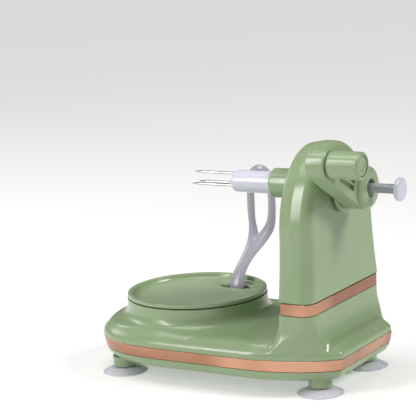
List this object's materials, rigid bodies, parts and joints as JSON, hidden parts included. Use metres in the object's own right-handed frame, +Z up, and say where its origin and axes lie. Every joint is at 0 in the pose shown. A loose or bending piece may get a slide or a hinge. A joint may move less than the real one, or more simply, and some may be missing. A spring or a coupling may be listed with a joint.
{
  "type": "apple peeler",
  "caption": "Hand-cranked fruit peeler: a crank turns a fork while a geared turntable carries a sprung blade arm around the fruit.",
  "frame": {"origin": "centre of the machine's footprint at table level", "axes": "+X along the spindle towards the crank and ejector knob, +Y away from the crank handle at rest, +Z up"},
  "size_m": [0.275, 0.146, 0.2017],
  "materials": {
    "sage_plastic": "semi-gloss moulded ABS, sage green",
    "copper_trim": "brushed rose-copper plated strip",
    "lavender_plastic": "glossy moulded plastic, pale lavender",
    "arm_plastic": "semi-gloss moulded nylon, lavender grey",
    "gear_plastic": "natural acetal",
    "steel": "stainless steel",
    "cup_rubber": "clear soft PVC"
  },
  "bodies": {
    "base": {"base_tray": "sage_plastic", "base_trim_band": "copper_trim", "base_housing": "sage_plastic", "suction_cup_1": "cup_rubber", "suction_cup_2": "cup_rubber", "suction_cup_3": "cup_rubber", "suction_cup_4": "cup_rubber", "tray_screw_1": "steel", "tray_screw_2": "steel", "tray_screw_3": "steel", "tray_screw_4": "steel", "turntable_post": "gear_plastic", "thrust_washer": "steel", "post_clip": "steel", "idler_axle": "gear_plastic", "compound_axle": "gear_plastic", "lower_shaft_bearing": "gear_plastic", "tower_shell": "sage_plastic", "tower_cover": "sage_plastic", "tower_trim_band": "copper_trim", "cover_screw_1": "steel", "cover_screw_2": "steel", "cover_screw_3": "steel", "cover_screw_4": "steel", "spindle_collar": "sage_plastic", "crank_bush": "sage_plastic", "upper_shaft_bracket": "gear_plastic"},
    "spindle": {"spindle_tube": "lavender_plastic", "spindle_shaft": "steel", "fork_holder": "lavender_plastic", "fork_prong_1": "steel", "fork_prong_2": "steel", "fork_prong_3": "steel", "spindle_gear": "gear_plastic", "crank_arm": "sage_plastic", "hub_nut": "steel", "handle_pin": "steel"},
    "grip": {"handle_grip": "sage_plastic", "grip_cap": "sage_plastic"},
    "ejector": {"ejector_rod": "lavender_plastic", "ejector_knob": "lavender_plastic", "ejector_head": "lavender_plastic"},
    "drive": {"drive_shaft": "steel", "drive_shaft_gear": "gear_plastic", "drive_pinion": "gear_plastic"},
    "compound": {"compound_gear": "gear_plastic"},
    "idler": {"idler_gear": "gear_plastic"},
    "turntable": {"turntable_disc": "sage_plastic", "turntable_gear": "gear_plastic", "turntable_screw_1": "steel", "turntable_screw_2": "steel", "turntable_screw_3": "steel", "arm_pin": "steel", "arm_spring": "steel"},
    "arm": {"peeler_arm": "arm_plastic", "blade": "steel", "blade_rivet_1": "steel", "blade_rivet_2": "steel"}
  },
  "joints": [
    {"name": "crank_spin", "type": "hinge", "parent": "base", "child": "spindle", "pos_m": [0, 0, 0.1607], "axis": [1, 0, 0], "range_deg": [-600, 3360]},
    {"name": "grip_spin", "type": "hinge", "parent": "spindle", "child": "grip", "pos_m": [0.12, -0.0602, 0.1893], "axis": [1, 0, 0], "continuous": true},
    {"name": "ejector_slide", "type": "slide", "parent": "spindle", "child": "ejector", "axis": [-1, 0, 0], "range_m": [0, 0.021]},
    {"name": "drive_spin", "type": "hinge", "parent": "base", "child": "drive", "pos_m": [0.0695, 0, 0.1], "axis": [0, 0, 1], "range_deg": [-3360.5, 600.5]},
    {"name": "compound_spin", "type": "hinge", "parent": "base", "child": "compound", "pos_m": [0.0395, 0, 0.03], "axis": [0, 0, 1], "range_deg": [-150.5, 840.5]},
    {"name": "idler_spin", "type": "hinge", "parent": "base", "child": "idler", "pos_m": [0.01275, 0.02628, 0.036], "axis": [0, 0, 1], "range_deg": [-210.5, 38]},
    {"name": "turntable_turn", "type": "hinge", "parent": "base", "child": "turntable", "pos_m": [-0.0575, 0, 0.06], "axis": [0, 0, 1], "range_deg": [-25.5, 140.5]},
    {"name": "arm_swing", "type": "hinge", "parent": "turntable", "child": "arm", "pos_m": [-0.0385, 0.034, 0.054], "axis": [1, 0, 0], "range_deg": [-6, 15], "stiffness_Nm_per_rad": 0.6}
  ],
  "couplings": [
    {"joint": "drive_spin", "follows": "crank_spin", "ratio": -1},
    {"joint": "compound_spin", "follows": "crank_spin", "ratio": 0.25},
    {"joint": "idler_spin", "follows": "crank_spin", "ratio": -0.0625},
    {"joint": "turntable_turn", "follows": "crank_spin", "ratio": 0.041667}
  ]
}
